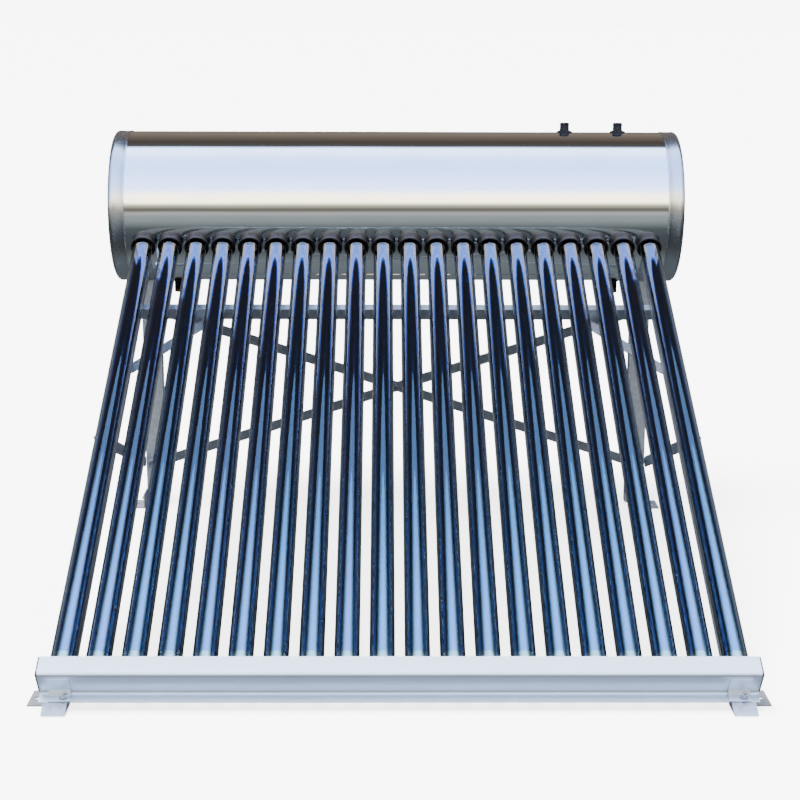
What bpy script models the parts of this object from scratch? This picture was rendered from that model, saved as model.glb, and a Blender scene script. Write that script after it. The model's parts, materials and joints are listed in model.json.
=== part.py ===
"""Thermosiphon solar water heater with twenty evacuated glass tubes, in metres, +Z up.

The origin is on the ground under the middle of the whole heater. X runs along the tank, -Y is the low
end of the tubes, and the tank lies along the top at +Y. Everything on the slope is placed by two
distances from the tank's axis: along, down the tubes, and lift, square to them.
"""
from math import asin, atan2, cos, pi, radians, sin, sqrt

import bmesh
import bpy
from mathutils import Matrix, Vector

# Driving dimensions
GAP = 0.0003
TILT = radians(26.5)
TUBE_COUNT = 20
TUBE_PITCH = 0.080
TUBE_RADIUS = 0.029
TUBE_BORE_RADIUS = 0.0235
TUBE_LENGTH = 1.800
TUBE_TOP = 0.168
TUBE_LIFT = 0.0136
TUBE_SIDES = 16
TUBE_LIP = 0.002
TANK_Y = 0.7972
TANK_Z = 0.9405
TANK_LENGTH = 1.731
SHELL_RADIUS = 0.230
SHELL_WALL = 0.0012
INNER_RADIUS = 0.180
INNER_WALL = 0.002
INNER_LENGTH = 1.600
INNER_DISH = 0.030
VESSEL_ROOM = 0.0015
FOAM_ROOM = 0.0011
TUBE_HOLE_RADIUS = 0.0306
TUBE_HOLE_TOP = TUBE_TOP - 0.060
TUBE_HOLE_LENGTH = 0.200
HOLE_SIDES = 12
TANK_SIDES = 32
SHELL_SIDES = 56
PORT_SIDES = 16
HOLE_REACH = 0.010

END_CAP_RIM = 0.050
END_CAP_CORNER = 0.014
END_CAP_DISH = 0.006
END_CAP_WALL = 0.0012
END_CAP_ROOM = 0.0006
END_CAP_FLAT = 0.150
END_CAP_SHOULDER = 0.190

TOP_PORT_X = (0.520, 0.684)
BOTTOM_PORT_X = 0.682
SOCKET_RADIUS = 0.0120
SOCKET_BORE = 0.0085
TOP_CAP_RADIUS = 0.0145
TOP_CAP_HEIGHT = 0.029
TOP_CAP_FLANGE = 0.0225
TOP_CAP_BASE = 0.0012
TOP_CAP_SKIRT = 0.007
TOP_CAP_CROWN = 0.006
SOCKET_SINK = 0.004
CAP_CHAMFER = 0.002
BOTTOM_SOCKET_RADIUS = 0.0145
BOTTOM_SOCKET_END = 0.260
BOTTOM_SOCKET_BORE = 0.0100
PLUG_DEPTH = 0.014
BOTTOM_CAP_LENGTH = 0.010
PORT_HOLE_START = 0.120
PORT_HOLE_LENGTH = 0.150
PORT_HOLE_ROOM = 0.0012

SIDE_RAIL_X = 0.769
SIDE_RAIL_WIDTH = 0.054
SIDE_RAIL_DEPTH = 0.030
SIDE_RAIL_LIFT = TUBE_LIFT - 0.038
SIDE_RAIL_TOP = 0.262
SHEET = 0.002
GROUND_CLEARANCE = 0.003
GROUND_BLOCK = (2.2, 0.8, 0.2)
SLOT_LENGTH = 0.090
SLOT_WIDTH = 0.012
SLOT_FIRST = 0.560
SLOT_STEP = 0.190
SLOT_COUNT = 7
RAIL_OVERRUN = 0.050

CRADLE_SHEET = 0.003
CRADLE_END = 0.480
CRADLE_REAR_ANGLE = radians(-62)
CRADLE_ROOM = 0.001
CRADLE_KNEE = 0.002
CRADLE_WIDTH = SIDE_RAIL_WIDTH - 0.006

BOTTOM_RAIL_WEB = 1.993
BOTTOM_RAIL_LENGTH = 1.612
BOTTOM_RAIL_TOP = 0.0315
BOTTOM_RAIL_BASE = -0.0362
BOTTOM_RAIL_FLANGE = 0.056
BOTTOM_RAIL_LIP = 0.019
BOTTOM_RAIL_BEND = 0.009
BOTTOM_RAIL_LEAN = 0.010
BOTTOM_RAIL_SHEET = 0.0015
RAIL_END_CAP = 0.003
RAIL_END_CORNER = 0.004
CLIP_X = 0.7605
CLIP_WIDTH = 0.049
CLIP_DROP = 0.014
CLIP_ROOM = 0.0006
CLIP_BEND_ROOM = 0.0125

REAR_LEG_X = 0.762
REAR_LEG_WIDTH = 0.058
REAR_LEG_DEPTH = 0.040
REAR_LEG_FRONT = TANK_Y - 0.073
LEG_RELIEF_ROOM = 0.0018
RELIEF_SIDES = 64
CROSSBAR_ALONG = 0.4625
CROSSBAR_DEPTH = 0.025
CROSSBAR_HEIGHT = 0.036
CROSSBAR_LENGTH = 1.580

BAR_WIDTH = 0.034
BAR_THICKNESS = 0.003
BOLT_RADIUS = 0.004
BOLT_HOLE_RADIUS = 0.0045
BOLT_HEAD_RADIUS = 0.0075
BOLT_HEAD = 0.005
NUT_HEIGHT = 0.006
BOLT_STUB = 0.005
CROSS_BRACE_TOP_X = 0.715
CROSS_BRACE_FOOT_X = 0.770
CROSS_BRACE_FOOT_Z = 0.132
CROSS_BRACE_ROOM = 0.018
KNEE_TOP_X = 0.540
KNEE_FOOT_X = SIDE_RAIL_X - 0.018
KNEE_ALONG = 0.760
KNEE_ROOM = 0.0032
SIDE_BRACE_ALONG = 1.0776

FOOT_LENGTH = 0.090
FOOT_REACH = 0.042
FOOT_SHEET = 0.003
FOOT_HEIGHT = 0.045
FOOT_HOLE_RADIUS = 0.006
FOOT_HOLE_SHARE = 0.62
FRONT_FOOT_Y = -0.921
REAR_FOOT_Y = 0.704

SLOPE = Matrix.Translation((0, TANK_Y, TANK_Z)) @ Matrix.Rotation(TILT, 4, "X")
ALONG_X = Matrix(((0, 0, 1, 0), (1, 0, 0, 0), (0, 1, 0, 0), (0, 0, 0, 1)))

# Colour, roughness and metallic value of each finish
FINISHES = {
    "mirror_steel": ((0.80, 0.81, 0.82), 0.08, 1.0),
    "satin_steel": ((0.52, 0.53, 0.55), 0.28, 1.0),
    "tube_glass": ((0.02, 0.03, 0.07), 0.05, 0.0),
    "galvanised": ((0.55, 0.58, 0.62), 0.42, 0.9),
    "white_rail": ((0.74, 0.77, 0.80), 0.35, 0.6),
    "foam": ((0.75, 0.62, 0.35), 0.9, 0.0),
    "black_rubber": ((0.02, 0.02, 0.025), 0.6, 0.0),
    "red_plastic": ((0.30, 0.07, 0.03), 0.45, 0.0),
    "blue_plastic": ((0.02, 0.04, 0.14), 0.45, 0.0),
}


def empty_scene():
    """Removes what the file holds, and makes the part's collection and the cutters' one."""
    for obj in list(bpy.data.objects):
        bpy.data.objects.remove(obj, do_unlink=True)
    made = []
    for name in ("solar_water_heater", "cutters"):
        collection = bpy.data.collections.new(name)
        bpy.context.scene.collection.children.link(collection)
        made.append(collection)
    return made


PART, CUTTERS = empty_scene()


def slope_point(x, along, lift):
    """The world point at these distances from the tank's axis."""
    return SLOPE @ Vector((x, -along, lift))


def finish_material(name, finish):
    """The sub-part's own material."""
    colour, roughness, metallic = FINISHES[finish]
    material = bpy.data.materials.new(name)
    material.use_nodes = True
    shader = material.node_tree.nodes["Principled BSDF"]
    shader.inputs["Base Color"].default_value = (*colour, 1)
    shader.inputs["Roughness"].default_value = roughness
    shader.inputs["Metallic"].default_value = metallic
    return material


def place(name, mesh, finish, matrix, smooth=False):
    """A sub-part made from a mesh, with its origin and axes at the matrix."""
    obj = bpy.data.objects.new(name, mesh)
    obj.matrix_world = matrix
    if smooth:
        mesh.shade_smooth()
        mesh.set_sharp_from_angle(angle=radians(35))
    if finish is None:
        obj.hide_render = True
        obj.display_type = "WIRE"
        CUTTERS.objects.link(obj)
    else:
        mesh.materials.append(finish_material(name, finish))
        PART.objects.link(obj)
    return obj


def add_boolean(obj, cutter):
    """Cuts the object by another one."""
    cut = obj.modifiers.new("cut", "BOOLEAN")
    cut.operation = "DIFFERENCE"
    cut.object = cutter
    cut.solver = "EXACT"


def box_mesh(name, size, centre):
    """A box as a mesh."""
    shape = bmesh.new()
    bmesh.ops.create_cube(shape, size=1, matrix=Matrix.Translation(centre) @ Matrix.Diagonal((*size, 1)))
    mesh = bpy.data.meshes.new(name)
    shape.to_mesh(mesh)
    shape.free()
    return mesh


def cylinders_mesh(name, radius, length, sides, matrices):
    """Cylinders with their lower ends at the origins of the matrices, along their Z axes."""
    shape = bmesh.new()
    for matrix in matrices:
        bmesh.ops.create_cone(
            shape,
            cap_ends=True,
            segments=sides,
            radius1=radius,
            radius2=radius,
            depth=length,
            matrix=matrix @ Matrix.Translation((0, 0, length / 2)),
        )
    mesh = bpy.data.meshes.new(name)
    shape.to_mesh(mesh)
    shape.free()
    return mesh


def flat_mesh(name, outlines, thickness):
    """A flat shape in local X and Y with any holes, as thick as said, with its middle at local Z 0."""
    curve = bpy.data.curves.new(name, "CURVE")
    curve.dimensions = "2D"
    curve.fill_mode = "BOTH"
    curve.extrude = thickness / 2
    for outline in outlines:
        spline = curve.splines.new("POLY")
        spline.points.add(len(outline) - 1)
        for point, (x, y) in zip(spline.points, outline):
            point.co = (x, y, 0, 1)
        spline.use_cyclic_u = True
    holder = bpy.data.objects.new(name, curve)
    PART.objects.link(holder)
    evaluated = holder.evaluated_get(bpy.context.evaluated_depsgraph_get())
    mesh = bpy.data.meshes.new_from_object(evaluated)
    bpy.data.objects.remove(holder)
    bpy.data.curves.remove(curve)
    shape = bmesh.new()
    shape.from_mesh(mesh)
    bmesh.ops.remove_doubles(shape, verts=shape.verts, dist=1e-6)
    bmesh.ops.recalc_face_normals(shape, faces=shape.faces)
    shape.to_mesh(mesh)
    shape.free()
    mesh.name = name
    return mesh


def turned_mesh(name, profile, sides):
    """A solid turned about local Z from (radius, height) points that run down its outer side."""
    mesh = bpy.data.meshes.new(name + "_profile")
    edges = [(i, i + 1) for i in range(len(profile) - 1)]
    mesh.from_pydata([(radius, 0, height) for radius, height in profile], edges, [])
    holder = bpy.data.objects.new(name, mesh)
    PART.objects.link(holder)
    screw = holder.modifiers.new("turn", "SCREW")
    screw.steps = sides
    screw.render_steps = sides
    screw.use_merge_vertices = True
    screw.merge_threshold = 1e-5
    evaluated = holder.evaluated_get(bpy.context.evaluated_depsgraph_get())
    turned = bpy.data.meshes.new_from_object(evaluated)
    bpy.data.objects.remove(holder)
    bpy.data.meshes.remove(mesh)
    turned.name = name
    return turned


def arc(centre, radius, start, end, steps):
    """Points along an arc, ends included."""
    turns = [start + (end - start) * i / steps for i in range(steps + 1)]
    return [(centre[0] + radius * cos(a), centre[1] + radius * sin(a)) for a in turns]


def circle(centre, radius, sides=12):
    """A round hole's outline."""
    return arc(centre, radius, 0, 2 * pi * (sides - 1) / sides, sides - 1)


def stadium(centre, length, width, steps=4):
    """The outline of a slot or strip with round ends, along X."""
    half = length / 2 - width / 2
    right = arc((centre[0] + half, centre[1]), width / 2, -pi / 2, pi / 2, steps)
    left = arc((centre[0] - half, centre[1]), width / 2, pi / 2, 3 * pi / 2, steps)
    return right + left


def rounded(path, radius, steps=3):
    """The path with each inner corner replaced by an arc of that radius."""
    points = [path[0]]
    for before, corner, after in zip(path, path[1:], path[2:]):
        here = Vector(corner)
        back = (Vector(before) - here).normalized()
        ahead = (Vector(after) - here).normalized()
        half_angle = back.angle(ahead) / 2
        middle = here + (back + ahead).normalized() * radius / sin(half_angle)
        first = here + back * radius * cos(half_angle) / sin(half_angle) - middle
        last = here + ahead * radius * cos(half_angle) / sin(half_angle) - middle
        turn = atan2(first.x * last.y - first.y * last.x, first.dot(last))
        start = atan2(first.y, first.x)
        points += arc(middle, radius, start, start + turn, steps)
    points.append(path[-1])
    return points


def sheet_outline(path, thickness):
    """The closed outline of a bent sheet that lies to the left of a path."""
    offset = []
    for i, point in enumerate(path):
        here = Vector(point)
        steps = []
        if i > 0:
            steps.append((here - Vector(path[i - 1])).normalized())
        if i < len(path) - 1:
            steps.append((Vector(path[i + 1]) - here).normalized())
        normals = [Vector((-step.y, step.x)) for step in steps]
        total = sum(normals, Vector((0, 0))).normalized()
        offset.append(here + total * thickness / total.dot(normals[0]))
    return [tuple(p) for p in path] + [tuple(p) for p in reversed(offset)]


def channel_outline(width, depth, sheet):
    """A channel's section, open towards -Y, with its web's outer face at Y 0."""
    half = width / 2
    outer = [(-half, -depth), (-half, 0), (half, 0), (half, -depth)]
    inner = [(half - sheet, -depth), (half - sheet, -sheet), (sheet - half, -sheet), (sheet - half, -depth)]
    return outer + inner


def tube_frames(along):
    """The frames of the tubes' axes at that distance from the tank's axis, with Z up the tubes."""
    up_the_tube = Matrix.Rotation(-pi / 2, 4, "X")
    middle = (TUBE_COUNT - 1) / 2
    spots = [((i - middle) * TUBE_PITCH, -along, TUBE_LIFT) for i in range(TUBE_COUNT)]
    return [SLOPE @ Matrix.Translation(spot) @ up_the_tube for spot in spots]


def port_frames():
    """The frames of the ports on the tank's axis, with Z pointing out along the port."""
    up = [Matrix.Translation((x, TANK_Y, TANK_Z)) for x in TOP_PORT_X]
    turned = Matrix.Rotation(pi, 4, "X")
    down = [Matrix.Translation((x, TANK_Y, TANK_Z)) @ turned for x in (-BOTTOM_PORT_X, BOTTOM_PORT_X)]
    return up, down


def make_tubes():
    """Twenty glass tubes with open mouths at the top and round bottoms."""
    bottom = -TUBE_LENGTH
    wall = TUBE_RADIUS - TUBE_BORE_RADIUS
    inner_dome = arc((0, bottom + TUBE_RADIUS), TUBE_BORE_RADIUS, -pi / 2, 0, 2)
    outer_dome = arc((0, bottom + TUBE_RADIUS), TUBE_RADIUS, 0, -pi / 2, 4)
    lip = [(TUBE_BORE_RADIUS, 0), (TUBE_BORE_RADIUS + wall / 2, TUBE_LIP), (TUBE_RADIUS, 0)]
    profile = [(0, inner_dome[0][1])] + inner_dome[1:] + lip + outer_dome[:-1] + [(0, bottom)]
    for number, frame in enumerate(tube_frames(TUBE_TOP), 1):
        name = f"glass_tube_{number:02d}"
        place(name, turned_mesh(name, profile, TUBE_SIDES), "tube_glass", frame, smooth=True)


def dished_profile(radius, length, dish, steps=2):
    """Half the section of a vessel with dished ends, from one end of its axis to the other."""
    straight = length / 2 - dish
    ball = (radius**2 + dish**2) / (2 * dish)
    reach = asin(radius / ball)
    centre = straight + dish - ball
    top = [(ball * sin(reach * i / steps), centre + ball * cos(reach * i / steps)) for i in range(steps + 1)]
    bottom = [(r, -z) for r, z in reversed(top)]
    return top + bottom


def tank_frame():
    """The tank's axis as local Z, with local X up."""
    turn = Matrix(((0, 0, 1), (0, 1, 0), (-1, 0, 0))).to_4x4()
    return Matrix.Translation((0, TANK_Y, TANK_Z)) @ turn


def make_tank():
    """The inner tank, its foam and the polished outer shell, with holes for the tubes and ports."""
    frame = tank_frame()
    up, down = port_frames()
    tube_ends = tube_frames(TUBE_HOLE_TOP + TUBE_HOLE_LENGTH)
    tube_holes = cylinders_mesh("tube_holes", TUBE_HOLE_RADIUS, TUBE_HOLE_LENGTH, HOLE_SIDES, tube_ends)
    tube_cutter = place("tube_holes", tube_holes, None, Matrix())
    port_cutters = []
    for name, radius, frames in (("top", SOCKET_RADIUS, up), ("bottom", BOTTOM_SOCKET_RADIUS, down)):
        name += "_port_holes"
        starts = [m @ Matrix.Translation((0, 0, PORT_HOLE_START)) for m in frames]
        holes = cylinders_mesh(name, radius + PORT_HOLE_ROOM, PORT_HOLE_LENGTH, HOLE_SIDES, starts)
        port_cutters.append(place(name, holes, None, Matrix()))

    vessel = dished_profile(INNER_RADIUS, INNER_LENGTH, INNER_DISH)
    hollow = dished_profile(INNER_RADIUS - INNER_WALL, INNER_LENGTH - 2 * INNER_WALL, INNER_DISH)
    void = place("tank_void", turned_mesh("tank_void", hollow, TANK_SIDES), None, frame)
    vessel_mesh = turned_mesh("inner_tank", vessel, TANK_SIDES)
    inner = place("inner_tank", vessel_mesh, "satin_steel", frame, smooth=True)

    skin = SHELL_RADIUS - SHELL_WALL
    half = TANK_LENGTH / 2 - END_CAP_CORNER
    foam_radius = skin - FOAM_ROOM
    block = [(0, half), (foam_radius, half), (foam_radius, -half), (0, -half)]
    seat = dished_profile(INNER_RADIUS + VESSEL_ROOM, INNER_LENGTH + 2 * GAP, INNER_DISH)
    seat_cutter = place("foam_seat", turned_mesh("foam_seat", seat, TANK_SIDES), None, frame)
    foam_mesh = turned_mesh("foam_insulation", block, TANK_SIDES)
    foam = place("foam_insulation", foam_mesh, "foam", frame, smooth=True)

    wall = [(skin, -half), (skin, half), (SHELL_RADIUS, half), (SHELL_RADIUS, -half), (skin, -half)]
    shell_mesh = turned_mesh("outer_shell", wall, SHELL_SIDES)
    shell = place("outer_shell", shell_mesh, "mirror_steel", frame, smooth=True)

    add_boolean(inner, void)
    add_boolean(foam, seat_cutter)
    for obj in (inner, foam, shell):
        for cutter in (tube_cutter, *port_cutters):
            add_boolean(obj, cutter)


def make_end_caps():
    """Two pressed pans that close the shell."""
    inside = SHELL_RADIUS + END_CAP_ROOM
    outside = inside + END_CAP_WALL
    corner = END_CAP_CORNER
    outer = arc((outside - corner, -corner), corner, pi / 2, 0, 3)
    inner = arc((outside - corner, -corner), corner - END_CAP_WALL, 0, pi / 2, 3)
    dish = END_CAP_DISH
    flat = END_CAP_FLAT
    shoulder = END_CAP_SHOULDER
    profile = [(0, -dish), (flat, -dish), (shoulder, 0)] + outer
    profile += [(outside, -END_CAP_RIM), (inside, -END_CAP_RIM)] + inner
    profile += [(shoulder, -END_CAP_WALL), (flat, -dish - END_CAP_WALL), (0, -dish - END_CAP_WALL)]
    end = Matrix.Translation((0, 0, TANK_LENGTH / 2))
    mirror = Matrix.Rotation(pi, 4, "Y")
    for side, turn in (("right", Matrix()), ("left", mirror)):
        name = "end_cap_" + side
        pan = turned_mesh(name, profile, SHELL_SIDES)
        place(name, pan, "satin_steel", tank_frame() @ turn @ end, smooth=True)


def pipe_profile(radius, bore, start, end):
    """A straight pipe's closed section."""
    return [(bore, start), (bore, end), (radius, end), (radius, start), (bore, start)]


def make_ports():
    """The pipe sockets that pass through the foam, and the caps and plugs that close them."""
    up, down = port_frames()
    start = INNER_RADIUS - SOCKET_SINK
    base = SHELL_RADIUS + TOP_CAP_BASE
    top = SHELL_RADIUS + TOP_CAP_HEIGHT
    end = top - TOP_CAP_CROWN
    radius = TOP_CAP_RADIUS
    bore = SOCKET_RADIUS + GAP
    socket = pipe_profile(SOCKET_RADIUS, SOCKET_BORE, start, end)
    cap = [(0, top), (radius - CAP_CHAMFER, top), (radius, top - CAP_CHAMFER), (radius, base + TOP_CAP_SKIRT)]
    cap += [(TOP_CAP_FLANGE, base + CAP_CHAMFER), (TOP_CAP_FLANGE, base), (bore, base)]
    cap += [(bore, end + GAP), (0, end + GAP)]
    for name, frame in zip(("vent", "fill"), up):
        socket_mesh = turned_mesh(name + "_socket", socket, PORT_SIDES)
        place(name + "_socket", socket_mesh, "satin_steel", frame, smooth=True)
        place(name + "_cap", turned_mesh(name + "_cap", cap, PORT_SIDES), "black_rubber", frame, smooth=True)

    end = BOTTOM_SOCKET_END
    tip = end + BOTTOM_CAP_LENGTH
    radius = BOTTOM_SOCKET_RADIUS
    bore = BOTTOM_SOCKET_BORE
    stem = bore - GAP
    socket = pipe_profile(radius, bore, start, end)
    plug = [(0, tip), (radius - CAP_CHAMFER, tip), (radius, tip - CAP_CHAMFER), (radius, end + GAP)]
    plug += [(stem, end + GAP), (stem, end - PLUG_DEPTH), (0, end - PLUG_DEPTH)]
    for name, frame, finish in zip(("hot", "cold"), down, ("red_plastic", "blue_plastic")):
        socket_mesh = turned_mesh(name + "_socket", socket, PORT_SIDES)
        place(name + "_socket", socket_mesh, "black_rubber", frame, smooth=True)
        place(name + "_plug", turned_mesh(name + "_plug", plug, PORT_SIDES), finish, frame, smooth=True)


def side_rail_end():
    """How far down the slope the side rail's top face meets the ground clearance."""
    return (TANK_Z - GROUND_CLEARANCE + SIDE_RAIL_LIFT * cos(TILT)) / sin(TILT)


def slots_mesh(name):
    """The stadium-shaped slots along a side rail's web, as cutters."""
    outline = [(y, x) for x, y in stadium((0, 0), SLOT_LENGTH, SLOT_WIDTH)]
    shape = bmesh.new()
    for i in range(SLOT_COUNT):
        slot = flat_mesh("slot", [outline], SIDE_RAIL_DEPTH)
        slot.transform(Matrix.Translation((0, -SLOT_FIRST - i * SLOT_STEP, 0)))
        shape.from_mesh(slot)
        bpy.data.meshes.remove(slot)
    mesh = bpy.data.meshes.new(name)
    shape.to_mesh(mesh)
    shape.free()
    return mesh


def make_side_rails():
    """Slotted channels under the outermost tubes, cut level at their low ends."""
    low = side_rail_end() + RAIL_OVERRUN
    middle = (SIDE_RAIL_TOP + low) / 2
    depth = GROUND_BLOCK[2]
    ground_box = box_mesh("ground", GROUND_BLOCK, (0, FRONT_FOOT_Y, GROUND_CLEARANCE - depth / 2))
    ground = place("ground", ground_box, None, Matrix())
    for side, sign in (("left", -1), ("right", 1)):
        name = "side_rail_" + side
        outline = channel_outline(SIDE_RAIL_WIDTH, SIDE_RAIL_DEPTH, SHEET)
        section = flat_mesh(name, [outline], low - SIDE_RAIL_TOP)
        section.transform(Matrix.Translation((0, -middle, 0)) @ Matrix.Rotation(pi / 2, 4, "X"))
        frame = SLOPE @ Matrix.Translation((sign * SIDE_RAIL_X, 0, SIDE_RAIL_LIFT))
        rail = place(name, section, "galvanised", frame)
        add_boolean(rail, place(name + "_slots", slots_mesh(name + "_slots"), None, frame))
        add_boolean(rail, ground)


def make_cradles():
    """Bent straps that hold the tank: an arc round its underside, then a straight lap on the side rail."""
    radius = SHELL_RADIUS + CRADLE_ROOM
    outside = radius + CRADLE_SHEET
    lift = SIDE_RAIL_LIFT + GAP
    reach = sqrt(radius**2 - lift**2)
    down_slope = Vector((-cos(TILT), -sin(TILT)))
    square_to_it = Vector((-sin(TILT), cos(TILT)))
    corner = down_slope * reach + square_to_it * lift
    foot = down_slope * CRADLE_END + square_to_it * lift
    knee = down_slope * (outside + CRADLE_ROOM) + square_to_it * lift
    upper_knee = down_slope * (reach + CRADLE_KNEE) + square_to_it * (lift + CRADLE_SHEET)
    upper_foot = foot + square_to_it * CRADLE_SHEET
    front_angle = atan2(corner.y, corner.x)
    inner_arc = arc((0, 0), radius, CRADLE_REAR_ANGLE, front_angle, 14)[:-1]
    outer_arc = [tuple(Vector(point) * outside / radius) for point in inner_arc]
    outline = inner_arc + [tuple(upper_knee), tuple(upper_foot), tuple(foot), tuple(knee)]
    outline += list(reversed(outer_arc))
    for side, sign in (("left", -1), ("right", 1)):
        name = "cradle_" + side
        mesh = flat_mesh(name, [outline], CRADLE_WIDTH)
        mesh.transform(ALONG_X)
        place(name, mesh, "galvanised", Matrix.Translation((sign * SIDE_RAIL_X, TANK_Y, TANK_Z)))


def make_rear_legs():
    """Upright channels under the tank, with their tops cut to the cradle."""
    relief_length = 2 * (REAR_LEG_X + REAR_LEG_WIDTH)
    relief_frame = Matrix.Translation((-relief_length / 2, TANK_Y, TANK_Z)) @ Matrix.Rotation(pi / 2, 4, "Y")
    radius = SHELL_RADIUS + CRADLE_SHEET + LEG_RELIEF_ROOM
    relief_mesh = cylinders_mesh("leg_relief", radius, relief_length, RELIEF_SIDES, [relief_frame])
    relief = place("leg_relief", relief_mesh, None, Matrix())
    for side, sign in (("left", -1), ("right", 1)):
        name = "rear_leg_" + side
        section = flat_mesh(name, [channel_outline(REAR_LEG_WIDTH, REAR_LEG_DEPTH, SHEET)], TANK_Z)
        section.transform(Matrix.Translation((0, 0, TANK_Z / 2)) @ Matrix.Rotation(pi, 4, "Z"))
        frame = Matrix.Translation((sign * REAR_LEG_X, REAR_LEG_FRONT, GROUND_CLEARANCE))
        leg = place(name, section, "galvanised", frame)
        add_boolean(leg, relief)


def make_crossbar():
    """The rear crossbar, a channel bolted under the side rails."""
    outline = channel_outline(CROSSBAR_HEIGHT, CROSSBAR_DEPTH, SHEET)
    mesh = flat_mesh("rear_crossbar", [outline], CROSSBAR_LENGTH)
    mesh.transform(Matrix.Rotation(-pi / 2, 4, "Y"))
    mesh.transform(Matrix.Rotation(pi, 4, "X"))
    lift = SIDE_RAIL_LIFT - SIDE_RAIL_DEPTH - GAP - CROSSBAR_HEIGHT / 2
    spot = (0, -CROSSBAR_ALONG - CROSSBAR_DEPTH / 2, lift)
    place("rear_crossbar", mesh, "galvanised", SLOPE @ Matrix.Translation(spot))


def make_bar(name, start, end, facing, holes):
    """A flat bar with round ends from bolt to bolt, its flat side facing the given way."""
    direction = (end - start).normalized()
    normal = (facing - direction * facing.dot(direction)).normalized()
    across = normal.cross(direction)
    length = (end - start).length
    outlines = [stadium((length / 2, 0), length + BAR_WIDTH, BAR_WIDTH)]
    outlines += [circle((length * hole, 0), BOLT_HOLE_RADIUS) for hole in holes]
    turn = Matrix((direction, across, normal)).transposed().to_4x4()
    mesh = flat_mesh(name, outlines, BAR_THICKNESS)
    return place(name, mesh, "galvanised", Matrix.Translation(start) @ turn)


def make_cross_brace():
    """Two bars that cross between the crossbar and the rear legs, and the bolt where they cross."""
    lift = SIDE_RAIL_LIFT - SIDE_RAIL_DEPTH - GAP - CROSSBAR_HEIGHT / 2
    along = CROSSBAR_ALONG - CROSSBAR_DEPTH / 2 - GAP - BAR_THICKNESS / 2
    top = slope_point(CROSS_BRACE_TOP_X, along, lift)
    foot = Vector((-CROSS_BRACE_FOOT_X, REAR_LEG_FRONT - CROSS_BRACE_ROOM, CROSS_BRACE_FOOT_Z))
    in_plane = Vector((0, foot.y - top.y, foot.z - top.z))
    facing = in_plane.cross(Vector((1, 0, 0))).normalized()
    share = CROSS_BRACE_TOP_X / (CROSS_BRACE_TOP_X + CROSS_BRACE_FOOT_X)
    behind = -facing * (BAR_THICKNESS + GAP)
    make_bar("cross_brace_a", top, foot, facing, (0, share, 1))
    mirrored_top = Vector((-top.x, top.y, top.z)) + behind
    mirrored_foot = Vector((-foot.x, foot.y, foot.z)) + behind
    make_bar("cross_brace_b", mirrored_top, mirrored_foot, facing, (0, share, 1))

    head = BAR_THICKNESS / 2 + GAP
    tail = -BAR_THICKNESS * 1.5 - 2 * GAP
    radius = BOLT_RADIUS
    wide = BOLT_HEAD_RADIUS
    bolt = [(0, head + BOLT_HEAD), (wide, head + BOLT_HEAD), (wide, head), (radius, head), (radius, tail)]
    bolt += [(wide, tail), (wide, tail - NUT_HEIGHT), (radius, tail - NUT_HEIGHT)]
    bolt += [(radius, tail - NUT_HEIGHT - BOLT_STUB), (0, tail - NUT_HEIGHT - BOLT_STUB)]
    turn = facing.to_track_quat("Z", "Y").to_matrix().to_4x4()
    frame = Matrix.Translation(top.lerp(foot, share)) @ turn
    place("cross_brace_bolt", turned_mesh("cross_brace_bolt", bolt, 12), "satin_steel", frame, smooth=True)


def make_side_braces():
    """The knee braces under the crossbar's corners, and the level bars between legs and side rails."""
    rail_bottom = SIDE_RAIL_LIFT - SIDE_RAIL_DEPTH - BAR_THICKNESS / 2 - KNEE_ROOM
    crossbar_bottom = rail_bottom - GAP - CROSSBAR_HEIGHT
    slope_up = slope_point(0, 0, 1) - slope_point(0, 0, 0)
    outer_x = SIDE_RAIL_X + SIDE_RAIL_WIDTH / 2 + GAP + BAR_THICKNESS / 2
    for side, sign in (("left", -1), ("right", 1)):
        knee_top = slope_point(sign * KNEE_TOP_X, CROSSBAR_ALONG, crossbar_bottom)
        knee_foot = slope_point(sign * KNEE_FOOT_X, KNEE_ALONG, rail_bottom)
        make_bar("knee_brace_" + side, knee_top, knee_foot, slope_up, (0, 1))
        brace_end = slope_point(sign * outer_x, SIDE_BRACE_ALONG, SIDE_RAIL_LIFT - SIDE_RAIL_DEPTH / 2)
        brace_foot = Vector((sign * outer_x, REAR_LEG_FRONT + REAR_LEG_DEPTH / 2, CROSS_BRACE_FOOT_Z))
        make_bar("side_brace_" + side, brace_foot, brace_end, Vector((1, 0, 0)), (0, 1))


def make_feet():
    """Angle feet bolted to the outer sides of the rails and legs."""
    rail_side = SIDE_RAIL_X + SIDE_RAIL_WIDTH / 2 + GAP
    leg_side = REAR_LEG_X + REAR_LEG_WIDTH / 2 + GAP
    for end, y, near in (("front", FRONT_FOOT_Y, rail_side), ("rear", REAR_FOOT_Y, leg_side)):
        for side, sign in (("left", -1), ("right", 1)):
            path = [(sign * near, FOOT_HEIGHT), (sign * near, 0), (sign * (near + FOOT_REACH), 0)]
            outline = sheet_outline(path, FOOT_SHEET * sign)
            name = f"foot_{end}_{side}"
            mesh = flat_mesh(name, [outline], FOOT_LENGTH)
            mesh.transform(Matrix.Rotation(pi / 2, 4, "X"))
            foot = place(name, mesh, "galvanised", Matrix.Translation((0, y, 0)))
            hole_x = sign * (near + FOOT_REACH * FOOT_HOLE_SHARE)
            spot = Matrix.Translation((hole_x, y, -HOLE_REACH / 2))
            hole = cylinders_mesh(name + "_hole", FOOT_HOLE_RADIUS, HOLE_REACH, HOLE_SIDES, [spot])
            add_boolean(foot, place(name + "_hole", hole, None, Matrix()))


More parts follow.
